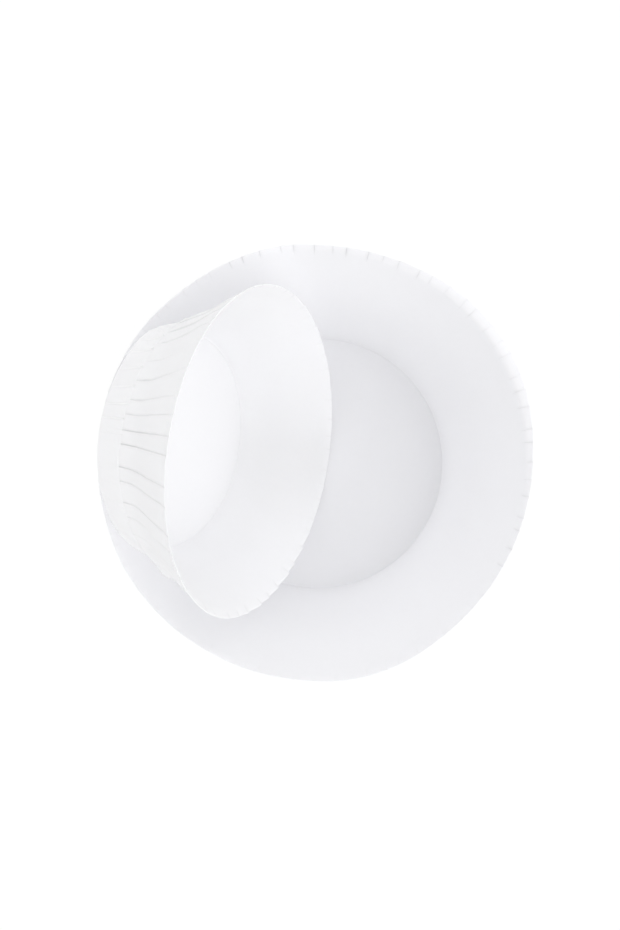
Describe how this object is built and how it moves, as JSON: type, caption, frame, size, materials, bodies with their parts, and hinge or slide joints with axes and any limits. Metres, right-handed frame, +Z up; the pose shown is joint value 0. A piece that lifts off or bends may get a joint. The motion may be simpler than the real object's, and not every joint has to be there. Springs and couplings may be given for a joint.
{
  "type": "pleated filter cups for a buchner funnel",
  "caption": "Pleated filter-paper cups with flat floors and flared, serrated walls; the small one lies on its side inside the large one and lifts out.",
  "frame": {"origin": "centre of the large cup's flat underside, on the bench", "axes": "+Z up along the large cup's own axis; the small cup's mouth faces +X, turned 9.1 degrees towards -Y, and a little upwards"},
  "size_m": [0.1628, 0.1628, 0.1119],
  "materials": {
    "large_cup_paper": "matt, slightly fibrous filter paper",
    "small_cup_paper": "matt, slightly fibrous filter paper"
  },
  "bodies": {
    "large_cup": {"large_filter_cup": "large_cup_paper"},
    "small_cup": {"small_filter_cup": "small_cup_paper"}
  },
  "joints": [
    {"name": "small_cup_lift", "type": "slide", "parent": "large_cup", "child": "small_cup", "axis": [0, 0, 1], "range_m": [0, 0.06]}
  ]
}
